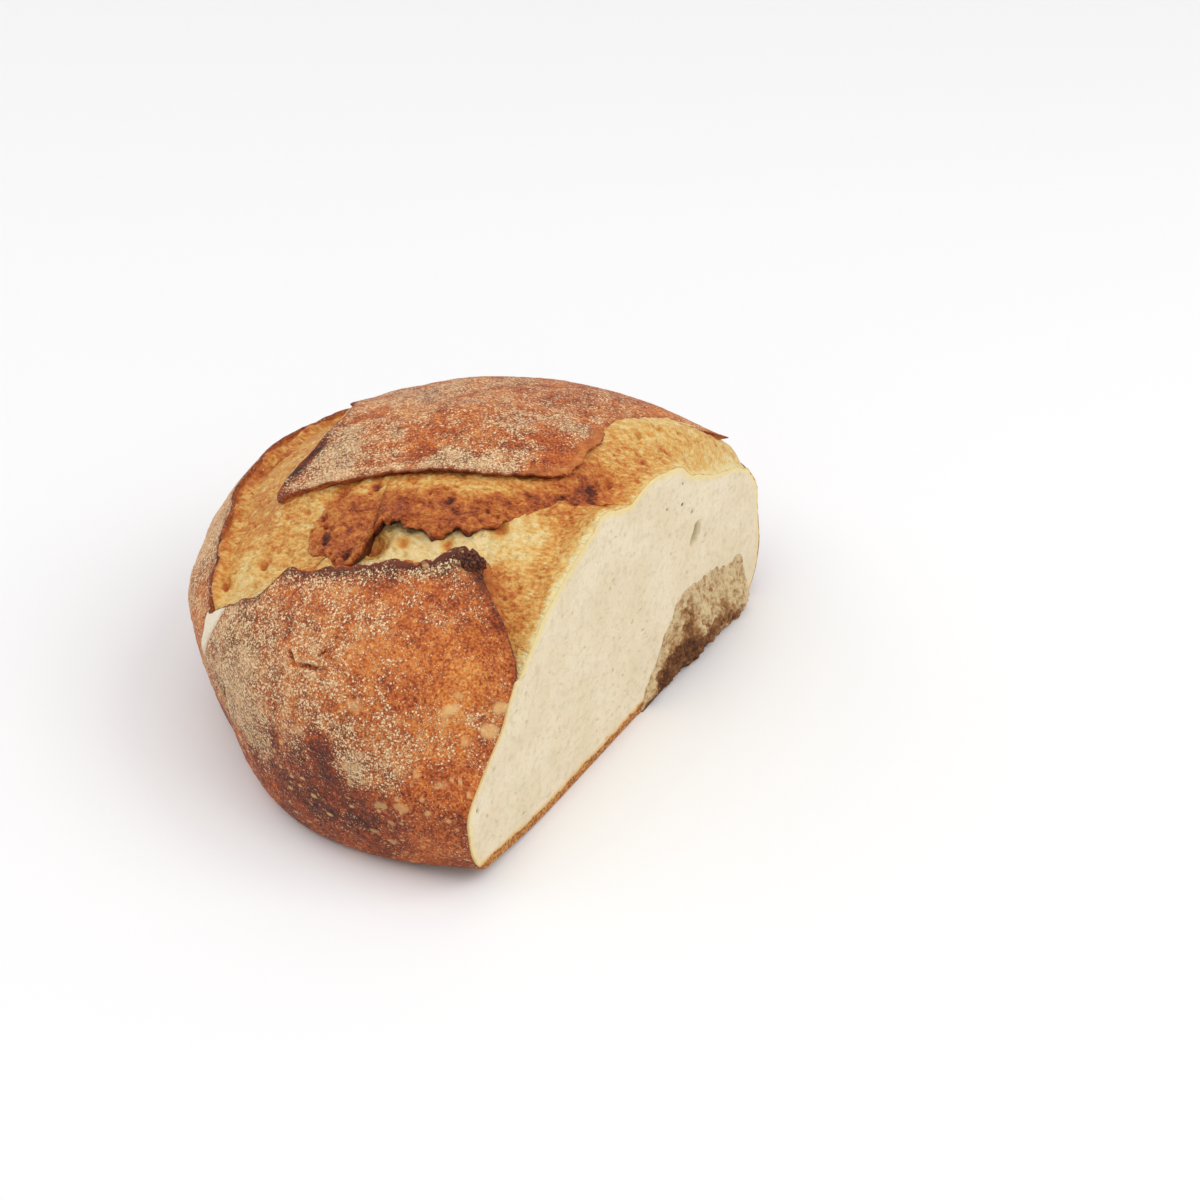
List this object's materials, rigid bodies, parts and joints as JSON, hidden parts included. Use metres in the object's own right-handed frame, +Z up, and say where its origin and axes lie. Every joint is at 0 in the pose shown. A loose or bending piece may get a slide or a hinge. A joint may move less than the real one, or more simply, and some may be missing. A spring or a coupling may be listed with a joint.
{
  "type": "sourdough loaf",
  "caption": "Round rustic sourdough loaf with crossed scores burst open and a floury brown crust, cut straight down at one side to show a pale close crumb, on a flat base.",
  "frame": {"origin": "bottom centre of the loaf's box, on the surface that it stands on", "axes": "+Z up, +X out of the cut face, +Y along the cut face, away from the side shown nearest"},
  "size_m": [0.171, 0.2214, 0.1132],
  "materials": {
    "crust": "matt baked crust, chestnut to orange brown, dusted with flour, pale blisters towards the base",
    "torn_dough": "rough golden torn dough in the scores, roasted orange brown on its high edges",
    "crumb": "soft matt cream crumb with fine pores"
  },
  "bodies": {
    "root": {"loaf": "crust"}
  },
  "joints": []
}
